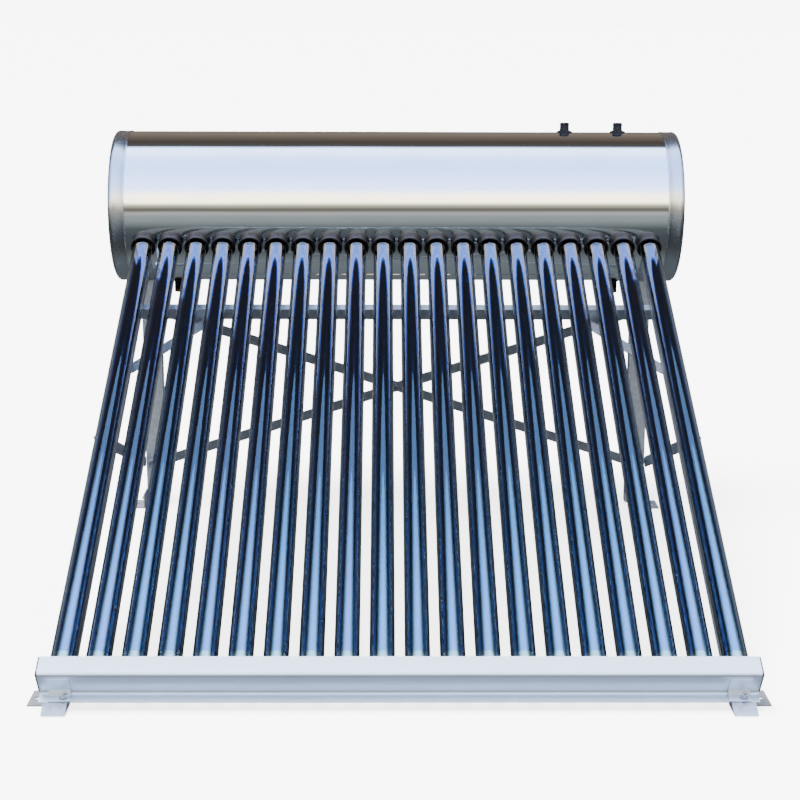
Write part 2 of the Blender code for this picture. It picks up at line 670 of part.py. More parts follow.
def make_bottom_rail():
    """The rail that holds the tubes' low ends, its end caps and the clips that bolt it to the side rails.

    Its web leans back from the flange's front edge down to the lip.
    """
    web = -BOTTOM_RAIL_WEB
    top = TUBE_LIFT + BOTTOM_RAIL_TOP
    base = TUBE_LIFT + BOTTOM_RAIL_BASE
    heel = web + BOTTOM_RAIL_LEAN
    path = [(web + BOTTOM_RAIL_FLANGE, top), (web, top), (heel, base), (web - BOTTOM_RAIL_LIP, base)]
    outline = sheet_outline(rounded(path, BOTTOM_RAIL_BEND), BOTTOM_RAIL_SHEET)
    mesh = flat_mesh("bottom_rail", [outline], BOTTOM_RAIL_LENGTH)
    mesh.transform(ALONG_X)
    place("bottom_rail", mesh, "white_rail", SLOPE, smooth=True)

    far = web + BOTTOM_RAIL_FLANGE
    corners = [(web, top), (far, top), (far, base), (heel, base)]
    loop = rounded(corners + corners[:2], RAIL_END_CORNER)[1:-1]
    floor = base + GAP
    slant = BOTTOM_RAIL_LEAN / (top - base)
    drops = (CLIP_DROP, top - base - CLIP_BEND_ROOM)
    clip_path = [(web - CLIP_ROOM + slant * drop, top - drop) for drop in drops]
    clip_path += [(heel - CLIP_BEND_ROOM, floor), (web - BOTTOM_RAIL_LIP, floor)]
    clip = sheet_outline(clip_path, -SHEET)
    for side, sign in (("left", -1), ("right", 1)):
        x = sign * (BOTTOM_RAIL_LENGTH / 2 + GAP + RAIL_END_CAP / 2)
        name = "rail_end_cap_" + side
        mesh = flat_mesh(name, [loop], RAIL_END_CAP)
        mesh.transform(ALONG_X)
        place(name, mesh, "black_rubber", SLOPE @ Matrix.Translation((x, 0, 0)))
        name = "rail_clip_" + side
        mesh = flat_mesh(name, [clip], CLIP_WIDTH)
        mesh.transform(ALONG_X)
        place(name, mesh, "white_rail", SLOPE @ Matrix.Translation((sign * CLIP_X, 0, 0)))


make_tubes()
make_tank()
make_end_caps()
make_ports()
make_side_rails()
make_cradles()
make_rear_legs()
make_crossbar()
make_cross_brace()
make_side_braces()
make_feet()
make_bottom_rail()
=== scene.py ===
"""The solar water heater's visible surfaces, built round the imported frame. Metres, Z up."""
import json
import random
from math import atan2, cos, pi, radians, sin

import bmesh
import bpy
from mathutils import Matrix, Vector, noise

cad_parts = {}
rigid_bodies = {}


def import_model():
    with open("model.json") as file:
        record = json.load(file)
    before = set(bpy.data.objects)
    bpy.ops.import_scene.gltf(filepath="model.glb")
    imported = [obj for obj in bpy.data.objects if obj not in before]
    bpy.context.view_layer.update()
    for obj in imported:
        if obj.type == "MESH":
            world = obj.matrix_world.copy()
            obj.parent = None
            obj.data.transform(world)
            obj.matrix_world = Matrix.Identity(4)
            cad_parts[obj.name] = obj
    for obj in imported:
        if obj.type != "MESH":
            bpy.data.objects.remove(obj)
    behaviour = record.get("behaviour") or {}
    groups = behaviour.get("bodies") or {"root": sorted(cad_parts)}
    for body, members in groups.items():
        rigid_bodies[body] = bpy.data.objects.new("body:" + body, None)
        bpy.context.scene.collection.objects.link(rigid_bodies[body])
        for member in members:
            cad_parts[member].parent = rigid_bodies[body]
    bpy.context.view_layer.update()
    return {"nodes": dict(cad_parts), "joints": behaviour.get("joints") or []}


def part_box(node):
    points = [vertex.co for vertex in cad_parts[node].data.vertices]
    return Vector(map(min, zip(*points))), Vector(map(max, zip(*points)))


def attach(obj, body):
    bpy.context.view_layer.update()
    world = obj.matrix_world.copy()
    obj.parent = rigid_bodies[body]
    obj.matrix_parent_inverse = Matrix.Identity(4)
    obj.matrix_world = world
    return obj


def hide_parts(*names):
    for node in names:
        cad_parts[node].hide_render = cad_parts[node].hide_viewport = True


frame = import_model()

random.seed(20)

# ---------------------------------------------------------------- sizes, in metres and radians
STEEL_SHEET = 0.0012
RAIL_SHEET = 0.0015
FOOT_SHEET = 0.003
GLASS_WALL = 0.0016
ABSORBER_RADIUS = 0.0235
RING_SEAT = -0.2285
BAR_END = 0.017
TOP_PORT_RADIUS = 0.0145
PORT_BORE = 0.0125
PLUG_BORE = 0.0098
WASHER = 0.0013
HEAD_RADIUS = 0.0062
HEAD_HEIGHT = 0.0042
ON_AXIS = 1e-7
SMOOTH_UP_TO = radians(38)

# ---------------------------------------------------------------- places read from the frame
joints = {joint["name"]: joint for joint in frame["joints"]}
UP_TUBE = Vector(joints["tube_01_slide"]["axis"]).normalized()
TILT = atan2(UP_TUBE.z, UP_TUBE.y)
TUBES = [f"{number:02d}" for number in range(1, 21)]


def middle(node):
    """The middle of a node's box."""
    low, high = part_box(node)
    return (low + high) / 2


def size(node):
    """The sides of a node's box."""
    low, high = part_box(node)
    return high - low


shell_low, shell_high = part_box("outer_shell")
cap_low, cap_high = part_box("end_cap_right")
TANK = (shell_low + shell_high) / 2
SHELL_RADIUS = (shell_high.z - shell_low.z) / 2
TANK_HALF = cap_high.x - TANK.x
CAP_RIM = cap_high.x - cap_low.x
CAP_RADIUS = (cap_high.z - cap_low.z) / 2
TUBE_RADIUS = size("glass_tube_01").x / 2
SLOPE = Matrix.Translation(TANK) @ Matrix.Rotation(TILT, 4, "X")
TO_SLOPE = SLOPE.inverted()


def slope_range(node, axis):
    """The least and most that a node's vertices measure along one axis of the slope's own frame."""
    values = [(TO_SLOPE @ vertex.co)[axis] for vertex in frame["nodes"][node].data.vertices]
    return min(values), max(values)


TUBE_LOW, TUBE_HIGH = slope_range("glass_tube_01", 1)
TUBE_LIFT = sum(slope_range("glass_tube_01", 2)) / 2
TUBE_X = {number: middle("glass_tube_" + number).x for number in TUBES}


# ---------------------------------------------------------------- node helpers
class Nodes:
    """Short calls for building a node tree."""

    def __init__(self, tree):
        self.tree = tree

    def add(self, kind, **values):
        node = self.tree.nodes.new(kind)
        for key, value in values.items():
            setattr(node, key, value)
        return node

    def link(self, source, target):
        self.tree.links.new(source, target)

    def put(self, node, value, socket):
        """Links a socket, or sets a plain value."""
        if isinstance(value, bpy.types.NodeSocket):
            self.link(value, node.inputs[socket])
        else:
            node.inputs[socket].default_value = value

    def coords(self, scale=(1, 1, 1)):
        """Object coordinates in metres, stretched."""
        source = self.add("ShaderNodeTexCoord").outputs["Object"]
        mapping = self.add("ShaderNodeMapping")
        mapping.inputs["Scale"].default_value = scale
        self.link(source, mapping.inputs["Vector"])
        return mapping.outputs["Vector"]

    def noise(self, vector, scale, detail=4):
        node = self.add("ShaderNodeTexNoise")
        self.link(vector, node.inputs["Vector"])
        self.put(node, scale, "Scale")
        self.put(node, detail, "Detail")
        self.put(node, 0.55, "Roughness")
        return node.outputs["Fac"]

    def cells(self, vector, scale):
        node = self.add("ShaderNodeTexVoronoi")
        self.link(vector, node.inputs["Vector"])
        self.put(node, scale, "Scale")
        return node.outputs["Color"]

    def spread(self, value, low, high, to_low, to_high):
        """Maps a value's range to another one, clamped."""
        node = self.add("ShaderNodeMapRange")
        self.put(node, value, "Value")
        ends = (("From Min", low), ("From Max", high), ("To Min", to_low), ("To Max", to_high))
        for key, number in ends:
            self.put(node, number, key)
        return node.outputs["Result"]

    def math(self, operation, a, b=0.0):
        node = self.add("ShaderNodeMath", operation=operation)
        self.put(node, a, 0)
        self.put(node, b, 1)
        return node.outputs["Value"]

    def ramp(self, value, stops):
        node = self.add("ShaderNodeValToRGB")
        elements = node.color_ramp.elements
        while len(elements) > 1:
            elements.remove(elements[-1])
        elements[0].position = stops[0][0]
        elements[0].color = (*stops[0][1], 1)
        for position, colour in stops[1:]:
            elements.new(position).color = (*colour, 1)
        self.link(value, node.inputs["Fac"])
        return node.outputs["Color"]

    def mix(self, factor, a, b):
        node = self.add("ShaderNodeMix", data_type="RGBA")
        for socket, value in (("Factor", factor), ("A", a), ("B", b)):
            target = [s for s in node.inputs if s.name == socket and s.enabled][0]
            if isinstance(value, bpy.types.NodeSocket):
                self.link(value, target)
            elif isinstance(value, tuple):
                target.default_value = (*value, 1)
            else:
                target.default_value = value
        return [s for s in node.outputs if s.enabled][0]


class Paint(Nodes):
    """A new material's node tree and its shader."""

    def __init__(self, name):
        self.material = bpy.data.materials.new(name)
        self.material.use_nodes = True
        super().__init__(self.material.node_tree)
        self.shader = self.tree.nodes["Principled BSDF"]

    def bump(self, height, strength, distance):
        node = self.add("ShaderNodeBump")
        self.put(node, strength, "Strength")
        self.put(node, distance, "Distance")
        self.link(height, node.inputs["Height"])
        self.link(node.outputs["Normal"], self.shader.inputs["Normal"])

    def set(self, **values):
        """Sets the shader's sockets, with _ for a space in a name."""
        for key, value in values.items():
            self.put(self.shader, value, key.replace("_", " "))
        return self.material


# ---------------------------------------------------------------- materials
def mirror_steel():
    """Polished stainless sheet with faint rolling waves, fine polish lines and a few smears."""
    n = Paint("mirror_steel")
    smear = n.noise(n.coords((1.0, 3.0, 3.0)), 6, detail=6)
    lines = n.noise(n.coords((2.0, 90.0, 90.0)), 8, detail=3)
    wave = n.noise(n.coords((0.35, 1.4, 1.4)), 4, detail=1)
    colour = n.mix(n.spread(smear, 0.4, 0.75, 0.0, 1.0), (0.93, 0.935, 0.94), (0.86, 0.875, 0.89))
    n.bump(n.math("ADD", wave, n.math("MULTIPLY", lines, 0.004)), 0.20, 0.004)
    rough = n.spread(smear, 0.35, 0.8, 0.035, 0.085)
    return n.set(Base_Color=colour, Roughness=rough, Metallic=1.0)


def satin_steel():
    """The pressed end pans and plain stainless fittings."""
    n = Paint("satin_steel")
    smear = n.noise(n.coords((3, 3, 3)), 5, detail=6)
    grain = n.noise(n.coords((60, 60, 60)), 8, detail=3)
    colour = n.mix(smear, (0.66, 0.67, 0.69), (0.50, 0.51, 0.535))
    n.bump(n.math("ADD", smear, n.math("MULTIPLY", grain, 0.02)), 0.12, 0.003)
    return n.set(Base_Color=colour, Roughness=n.spread(grain, 0.3, 0.7, 0.20, 0.30), Metallic=1.0)


def clear_glass():
    """Borosilicate glass, with a little dust on it."""
    n = Paint("tube_glass")
    dust = n.noise(n.coords((10, 2, 10)), 30, detail=6)
    rough = n.spread(dust, 0.5, 0.85, 0.0, 0.06)
    tint = n.mix(dust, (0.70, 0.715, 0.71), (0.64, 0.655, 0.65))
    return n.set(Base_Color=tint, Roughness=rough, Transmission_Weight=1.0, IOR=1.47)


def absorber(name, hue):
    """The inner tube's selective coating, a deep blue to violet metallic sheen."""
    n = Paint(name)
    drift = n.noise(n.coords((4, 4, 0.9)), 3, detail=3)
    fleck = n.noise(n.coords((60, 60, 12)), 10, detail=4)
    blue = n.mix(drift, hue, (0.110, 0.190, 0.540))
    colour = n.mix(n.spread(fleck, 0.62, 0.8, 0.0, 0.35), blue, (0.20, 0.30, 0.55))
    return n.set(Base_Color=colour, Roughness=n.spread(drift, 0.3, 0.7, 0.05, 0.08), Metallic=1.0)


def getter():
    """The silvery film inside a tube's low end."""
    n = Paint("getter_film")
    patch = n.noise(n.coords((8, 8, 8)), 6, detail=5)
    colour = n.mix(patch, (0.85, 0.86, 0.88), (0.55, 0.57, 0.62))
    return n.set(Base_Color=colour, Roughness=n.spread(patch, 0.3, 0.7, 0.06, 0.2), Metallic=1.0)


def rubber(name, colour, worn, roughness=0.5):
    """Moulded rubber or plastic with a fine grain and a dusty bloom."""
    n = Paint(name)
    bloom = n.noise(n.coords((9, 9, 9)), 7, detail=6)
    grain = n.noise(n.coords(), 1400, detail=2)
    n.bump(grain, 0.25, 0.0004)
    rough = n.spread(bloom, 0.3, 0.75, roughness - 0.12, roughness + 0.12)
    paint = n.mix(n.spread(bloom, 0.45, 0.8, 0, 1), colour, worn)
    return n.set(Base_Color=paint, Roughness=rough, Specular_IOR_Level=0.22)


def galvanised():
    """Zinc-coated steel: a crystal spangle, duller patches and a bluish cast."""
    n = Paint("galvanised")
    vector = n.coords()
    spangle = n.spread(n.cells(vector, 95), 0.0, 1.0, 0.0, 1.0)
    patch = n.noise(vector, 9, detail=6)
    base = n.mix(spangle, (0.44, 0.49, 0.56), (0.62, 0.66, 0.72))
    colour = n.mix(n.spread(patch, 0.4, 0.75, 0, 0.55), base, (0.36, 0.40, 0.47))
    n.bump(n.math("ADD", spangle, n.math("MULTIPLY", patch, 2.0)), 0.12, 0.0008)
    return n.set(Base_Color=colour, Roughness=n.spread(patch, 0.3, 0.7, 0.34, 0.52), Metallic=0.75)


def pale_sheet():
    """The bottom rail's pale satin sheet, with faint roll lines along it."""
    n = Paint("white_rail")
    lines = n.noise(n.coords((0.8, 60, 60)), 6, detail=3)
    patch = n.noise(n.coords((2, 8, 8)), 4, detail=5)
    colour = n.mix(patch, (0.70, 0.81, 0.96), (0.60, 0.70, 0.84))
    n.bump(n.math("ADD", n.math("MULTIPLY", lines, 0.05), patch), 0.10, 0.002)
    return n.set(Base_Color=colour, Roughness=n.spread(lines, 0.3, 0.7, 0.30, 0.42), Metallic=0.45)


def bolt_steel():
    """Zinc-plated fasteners."""
    n = Paint("bolt_zinc")
    patch = n.noise(n.coords(), 160, detail=5)
    colour = n.mix(patch, (0.58, 0.60, 0.62), (0.38, 0.40, 0.43))
    return n.set(Base_Color=colour, Roughness=n.spread(patch, 0.3, 0.7, 0.25, 0.45), Metallic=1.0)


def foam():
    """Sprayed foam, seen only where the shell is opened."""
    n = Paint("foam")
    pores = n.noise(n.coords(), 420, detail=4)
    n.bump(pores, 0.6, 0.001)
    return n.set(Base_Color=n.mix(pores, (0.80, 0.66, 0.38), (0.62, 0.48, 0.24)), Roughness=0.9)


MIRROR = mirror_steel()
SATIN = satin_steel()
GLASS = clear_glass()
ABSORBERS = [
    absorber("tube_absorber_blue", (0.060, 0.200, 0.560)),
    absorber("tube_absorber_deep", (0.080, 0.170, 0.500)),
    absorber("tube_absorber_violet", (0.130, 0.170, 0.560)),
]
GETTER = getter()
BLACK = rubber("black_rubber", (0.006, 0.006, 0.008), (0.018, 0.018, 0.021), 0.42)
CAP_BLACK = rubber("rail_cap_plastic", (0.030, 0.031, 0.038), (0.075, 0.077, 0.088))
CUP = rubber("tail_cup_plastic", (0.05, 0.05, 0.055), (0.10, 0.10, 0.11))
RED = rubber("red_plastic", (0.26, 0.055, 0.02), (0.36, 0.11, 0.06))
BLUE = rubber("blue_plastic", (0.012, 0.028, 0.12), (0.05, 0.07, 0.17))
ZINC = galvanised()
PALE = pale_sheet()
BOLT = bolt_steel()
FOAM = foam()


# ---------------------------------------------------------------- mesh helpers
def new_piece(name, mesh, material, matrix, body="root"):
    """A piece of the model that rides on a body."""
    obj = bpy.data.objects.new(name, mesh)
    bpy.context.scene.collection.objects.link(obj)
    obj.matrix_world = matrix
    mesh.materials.append(material)
    mesh.shade_smooth()
    mesh.set_sharp_from_angle(angle=SMOOTH_UP_TO)
    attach(obj, body)
    return obj


def finish_mesh(shape, name):
    """Turns a bmesh into a mesh with its faces pointing out."""
    bmesh.ops.recalc_face_normals(shape, faces=shape.faces)
    mesh = bpy.data.meshes.new(name)
    shape.to_mesh(mesh)
    shape.free()
    return mesh


def turned(shape, profile, sides, closed=False):
    """Adds a solid turned about local Z from (radius, height) points to a bmesh."""
    turns = [2 * pi * i / sides for i in range(sides)]
    rings = []
    for radius, height in profile:
        if radius < ON_AXIS:
            points = [(0, 0, height)]
        else:
            points = [(radius * cos(turn), radius * sin(turn), height) for turn in turns]
        rings.append([shape.verts.new(point) for point in points])
    pairs = list(zip(rings, rings[1:]))
    if closed:
        pairs.append((rings[-1], rings[0]))
    for a, b in pairs:
        for i in range(sides):
            j = (i + 1) % sides
            corners = [a[i % len(a)], a[j % len(a)], b[j % len(b)], b[i % len(b)]]
            unique = []
            for vertex in corners:
                if vertex not in unique:
                    unique.append(vertex)
            if len(unique) > 2:
                shape.faces.new(unique)


def arc(centre, radius, start, end, steps):
    """Points along an arc, ends included."""
    turns = [start + (end - start) * i / steps for i in range(steps + 1)]
    return [(centre[0] + radius * cos(a), centre[1] + radius * sin(a)) for a in turns]


def rounded(path, radius, steps=6):
    """The path with each inner corner replaced by an arc of that radius."""
    points = [path[0]]
    for before, corner, after in zip(path, path[1:], path[2:]):
        here = Vector(corner)
        back = (Vector(before) - here).normalized()
        ahead = (Vector(after) - here).normalized()
        half = back.angle(ahead) / 2
        centre = here + (back + ahead).normalized() * radius / sin(half)
        first = here + back * radius * cos(half) / sin(half) - centre
        last = here + ahead * radius * cos(half) / sin(half) - centre
        turn = atan2(first.x * last.y - first.y * last.x, first.dot(last))
        start = atan2(first.y, first.x)
        points += arc(centre, radius, start, start + turn, steps)
    points.append(path[-1])
    return points


def offset_path(path, thickness):
    """The path moved to its left by the thickness."""
    moved = []
    for i, point in enumerate(path):
        here = Vector(point)
        steps = []
        if i > 0:
            steps.append((here - Vector(path[i - 1])).normalized())
        if i < len(path) - 1:
            steps.append((Vector(path[i + 1]) - here).normalized())
        normals = [Vector((-step.y, step.x)) for step in steps]
        total = sum(normals, Vector((0, 0))).normalized()
        moved.append(tuple(here + total * thickness / total.dot(normals[0])))
    return moved


def extruded(shape, outline, stations, place):
    """Adds an outline swept along X to a bmesh, with end faces; place maps (x, u, v) to a point."""
    rows = [[shape.verts.new(place(x, u, v)) for u, v in outline] for x in stations]
    count = len(outline)
    for a, b in zip(rows, rows[1:]):
        for i in range(count):
            j = (i + 1) % count
            shape.faces.new((a[i], a[j], b[j], b[i]))
    shape.faces.new(rows[0])
    shape.faces.new(rows[-1][::-1])


def add_turned(name, profile, sides, material, matrix, body="root", closed=False):
    """A piece turned about its own Z."""
    shape = bmesh.new()
    turned(shape, profile, sides, closed=closed)
    return new_piece(name, finish_mesh(shape, name), material, matrix, body)


# ---------------------------------------------------------------- tank
def make_wrap():
    """The polished wrap, whose sheet ripples by a third of a millimetre."""
    half = TANK_HALF - CAP_RIM * 0.4
    stations = 60
    sides = 288
    clearance = 0.0002
    ripple_depth = 0.00035
    shape = bmesh.new()
    rows = []
    for i in range(stations + 1):
        x = -half + 2 * half * i / stations
        row = []
        for k in range(sides):
            turn = 2 * pi * k / sides
            ripple = noise.noise(Vector((x * 1.6, cos(turn) * 0.8, sin(turn) * 0.8))) * ripple_depth
            radius = SHELL_RADIUS - clearance - abs(ripple)
            row.append(shape.verts.new((x, radius * cos(turn), radius * sin(turn))))
        rows.append(row)
    for a, b in zip(rows, rows[1:]):
        for k in range(sides):
            m = (k + 1) % sides
            shape.faces.new((a[k], a[m], b[m], b[k]))
    mesh = finish_mesh(shape, "tank_wrap")
    wrap = new_piece("tank_wrap", mesh, MIRROR, Matrix.Translation(TANK))
    thick = wrap.modifiers.new("wall", "SOLIDIFY")
    thick.thickness = STEEL_SHEET
    thick.offset = -1
    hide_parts("outer_shell")


def make_seam():
    """The wrap's lock seam, low on the tank's front."""
    shape = bmesh.new()
    width = 0.011
    edge = 0.0008
    rise = 0.0014
    outline = [(-width, 0), (-width, edge), (-width * 0.8, rise)]
    outline += [(width * 0.8, rise), (width, edge), (width, 0)]
    angle = radians(-118)
    out = Vector((0, cos(angle), sin(angle)))
    side = Vector((0, -sin(angle), cos(angle)))
    reach = TANK_HALF - CAP_RIM - 0.001

    def place(x, u, v):
        return Vector((x, 0, 0)) + out * (SHELL_RADIUS - edge + v) + side * u

    extruded(shape, outline, (-reach, reach), place)
    mesh = finish_mesh(shape, "wrap_lock_seam")
    new_piece("wrap_lock_seam", mesh, MIRROR, Matrix.Translation(TANK))


def make_end_caps():
    """Pressed pans with a rolled rim, a soft corner and a shallow dished face."""
    outside = CAP_RADIUS
    skirt = outside - 0.0008
    lining = outside - STEEL_SHEET - 0.0004
    corner = 0.014
    rim = CAP_RIM
    dish = 0.0065
    shoulder = arc((0.166, -0.0350), 0.0350, radians(117), radians(90), 5)
    outer = [(0, -dish), (0.090, -dish), (0.140, -0.006)] + shoulder
    outer += arc((outside - corner, -corner), corner, pi / 2, 0, 10)
    outer += [(skirt, -corner - 0.004), (skirt, -rim + 0.0060)]
    outer += [(outside, -rim + 0.0045), (outside, -rim + 0.0012), (skirt, -rim)]
    inner = [(lining, -rim), (lining, -corner)]
    inner += arc((outside - corner, -corner), corner - STEEL_SHEET, 0, pi / 2, 6)
    inner += [(0.160, -STEEL_SHEET - 0.002), (0.120, -dish - STEEL_SHEET), (0, -dish - STEEL_SHEET)]
    for side, sign in (("right", 1), ("left", -1)):
        turn = Matrix.Rotation(sign * pi / 2, 4, "Y")
        spot = Matrix.Translation(TANK + Vector((sign * TANK_HALF, 0, 0)))
        name = "tank_end_pan_" + side
        cap = add_turned(name, outer + inner, 224, SATIN, spot @ turn)
        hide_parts("end_cap_" + side)


# ---------------------------------------------------------------- tubes
def tube_frame(number, along):
    """Z up the tube, at a distance along the slope's own Y."""
    turn = Matrix.Rotation(-pi / 2, 4, "X")
    return SLOPE @ Matrix.Translation((TUBE_X[number], along, TUBE_LIFT)) @ turn


def make_dust_rings():
    """Black rubber rings round the tubes where they enter the tank, with a wide soft lip."""
    bore = TUBE_RADIUS + 0.0002
    neck = 0.0335
    lip = 0.0370
    profile = [
        (bore, 0.004), (neck, 0.004), (neck, -0.006), (neck - 0.0010, -0.0130),
        (neck - 0.0002, -0.0180),
        (lip - 0.0006, -0.0222), (lip, -0.0245), (lip - 0.0006, -0.0268), (lip - 0.0026, -0.0276),
        (bore + 0.0022, -0.0248), (bore + 0.0004, -0.0233), (bore, -0.0200),
    ]
    for number in TUBES:
        spot = tube_frame(number, RING_SEAT)
        add_turned("dust_ring_" + number, profile, 72, BLACK, spot, closed=True)


def glass_profile():
    """The outer tube's wall, from its round bottom to its open mouth and back."""
    length = TUBE_HIGH - TUBE_LOW
    radius = TUBE_RADIUS
    inside = radius - GLASS_WALL
    lip = length - 0.001
    shares = (0.25, 0.5, 0.75)
    outer = arc((0, radius), radius, -pi / 2, 0, 10)
    outer += [(radius, length * share) for share in shares]
    outer += [(radius, lip), (radius - GLASS_WALL / 2, length), (inside, lip)]
    inner = [(inside, length * share) for share in reversed(shares)] + [(inside, radius)]
    return outer + inner + arc((0, radius), inside, 0, -pi / 2, 8)


def absorber_profile():
    """The inner tube's wall, whose round end stands clear of the outer tube's bottom."""
    length = TUBE_HIGH - TUBE_LOW
    start = 0.045
    top = length * 0.995
    inside = ABSORBER_RADIUS - GLASS_WALL
    outer = arc((0, start), ABSORBER_RADIUS, -pi / 2, 0, 10)
    outer += [(ABSORBER_RADIUS, length * share) for share in (0.25, 0.5, 0.75)]
    outer += [(ABSORBER_RADIUS, top)]
    inner = [(inside, top), (inside, length * 0.5), (inside, start)]
    return outer + inner + arc((0, start), inside, 0, -pi / 2, 6)[1:]


def getter_profile():
    """The thin film on the inside of the outer tube's bottom."""
    radius = TUBE_RADIUS
    outside = radius - GLASS_WALL - 0.0002
    inside = radius - GLASS_WALL - 0.0006
    edge = 0.052
    film = arc((0, radius), outside, -pi / 2, 0, 8) + [(outside, edge), (inside, edge)]
    return film + arc((0, radius), inside, 0, -pi / 2, 8)


def make_tubes():
    """Clear outer tubes, coated inner tubes and the getter film in each low end."""
    glass_outline = glass_profile()
    absorber_outline = absorber_profile()
    getter_outline = getter_profile()
    for number in TUBES:
        body = "tube_" + number
        matrix = tube_frame(number, TUBE_LOW)
        glass = add_turned("tube_outer_" + number, glass_outline, 64, GLASS, matrix, body)
        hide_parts("glass_tube_" + number)
        coating = random.choice(ABSORBERS)
        add_turned("tube_absorber_" + number, absorber_outline, 64, coating, matrix, body)
        add_turned("tube_getter_" + number, getter_outline, 48, GETTER, matrix, body)


def make_tail_cups():
    """Plastic cups in the bottom rail that the tubes stand in."""
    rim = 0.010
    floor = 0.0118
    profile = [(0, -0.018), (0.016, -0.018), (0.018, -0.016), (0.020, -0.004)]
    profile += [point for point in arc((0, 0.034), 0.0345, radians(-58), 0, 8) if point[1] < rim]
    profile += [(0.0280, 0.0125), (0.0268, 0.0130)]
    profile += [point for point in arc((0, 0.031), 0.0312, 0, radians(-90), 12) if point[1] < floor]
    for number in TUBES:
        spot = tube_frame(number, TUBE_LOW)
        add_turned("tail_cup_" + number, profile, 40, CUP, spot)


# ---------------------------------------------------------------- ports
def make_top_port(name):
    """A grooved push-on cap with a flange, and the gasket under it."""
    low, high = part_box(name + "_cap")
    height = high.z - low.z
    wide = (high.x - low.x) / 2
    radius = TOP_PORT_RADIUS
    crown = 0.003
    profile = [(0, height), (radius - 0.004, height)]
    profile += arc((radius - crown, height - crown), crown, pi / 2, 0, 4)
    for i in range(3):
        groove = height - 0.009 - i * 0.0035
        profile += [(radius, groove + 0.0012), (radius - 0.0006, groove), (radius, groove - 0.0012)]
    profile += [(radius, 0.0050), (wide - 0.0035, 0.0030), (wide, 0.0018), (wide, 0.0)]
    profile += [(PORT_BORE, 0.0), (0, 0.004)]
    x = middle(name + "_cap").x
    spot = Matrix.Translation((x, TANK.y, low.z))
    body = name + "_cap_body"
    cap = add_turned(name + "_push_cap", profile, 56, BLACK, spot, body)
    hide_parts(name + "_cap")

    edge = 0.0245
    gasket = [(PORT_BORE, 0.003), (0.021, 0.003), (edge, 0.0008), (edge, -0.003)]
    gasket += [(PORT_BORE, -0.003)]
    spot = Matrix.Translation((x, TANK.y, TANK.z + SHELL_RADIUS))
    add_turned(name + "_port_gasket", gasket, 56, BLACK, spot, closed=True)


def make_bottom_port(name, material):
    """A coloured push-in plug, and the rubber sleeve round its socket."""
    low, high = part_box(name + "_plug")
    radius = (high.x - low.x) / 2
    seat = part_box(name + "_socket")[0].z
    head = seat - low.z
    crown = 0.0025
    profile = [(0, head), (radius - 0.003, head)]
    profile += arc((radius - crown, head - crown), crown, pi / 2, 0, 4)
    profile += [(radius, 0.0012), (radius - 0.0008, 0.0004)]
    profile += [(0.0092, 0.0004), (0.0088, -0.0130), (0, -0.0135)]
    turn = Matrix.Rotation(pi, 4, "X")
    spot = Matrix.Translation((middle(name + "_plug").x, TANK.y, seat)) @ turn
    plug = add_turned(name + "_push_plug", profile, 48, material, spot, name + "_plug_body")
    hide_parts(name + "_plug")

    length = TANK.z - SHELL_RADIUS - seat
    collar = radius + 0.006
    sleeve = [(PLUG_BORE, -0.0008), (radius - 0.0008, -0.0008), (radius, -0.0020)]
    sleeve += [(radius, -length + 0.007), (collar, -length + 0.002)]
    sleeve += [(collar, -length - 0.0005), (PLUG_BORE, -length - 0.004)]
    add_turned(name + "_port_sleeve", sleeve, 48, BLACK, spot, closed=True)


def make_ports():
    """The vent and fill ports on top, and the hot and cold ports underneath."""
    make_top_port("vent")
    make_top_port("fill")
    make_bottom_port("hot", RED)
    make_bottom_port("cold", BLUE)


# ---------------------------------------------------------------- bottom rail
def heel_of(node):
    """How far down the slope a node's lowest edge reaches, were its corner not rounded off."""
    corner = 0.0035
    level = 0.0002
    points = [TO_SLOPE @ vertex.co for vertex in frame["nodes"][node].data.vertices]
    lowest = min(point.z for point in points)
    return min(point.y for point in points if point.z < lowest + level) - corner


def make_bottom_rail():
    """The folded rail over the tubes' low ends, with soft bends and a hemmed upper edge."""
    front, back = slope_range("bottom_rail", 1)
    base, top = slope_range("bottom_rail", 2)
    half = size("bottom_rail").x / 2
    bend = 0.0095
    hem_reach = 0.006
    hem_drop = 0.0034
    web = slope_range("rail_end_cap_left", 1)[0]
    heel = heel_of("rail_end_cap_left")
    hem = [(back - hem_reach, top - hem_drop), (back - 0.0006, top - hem_drop)]
    hem += [(back, top - 0.0020)]
    run = rounded([(back - 0.0008, top), (web, top), (heel, base), (front, base)], bend, 8)
    inner = offset_path(run, RAIL_SHEET)
    outline = hem + run + list(reversed(inner))
    outline += [(back - 0.0012, top - RAIL_SHEET), (back - hem_reach, top - RAIL_SHEET)]
    shape = bmesh.new()
    stations = [-half + 2 * half * i / 40 for i in range(41)]

    def place(x, u, v):
        sag = noise.noise(Vector((x * 2.2, 0, v * 4))) * 0.00025
        return Vector((x, u, v + sag))

    extruded(shape, outline, stations, place)
    rail = new_piece("tail_rail", finish_mesh(shape, "tail_rail"), PALE, SLOPE)
    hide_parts("bottom_rail")


# ---------------------------------------------------------------- fasteners
BRACES = (
    "cross_brace_a", "cross_brace_b", "knee_brace_left", "knee_brace_right",
    "side_brace_left", "side_brace_right",
)


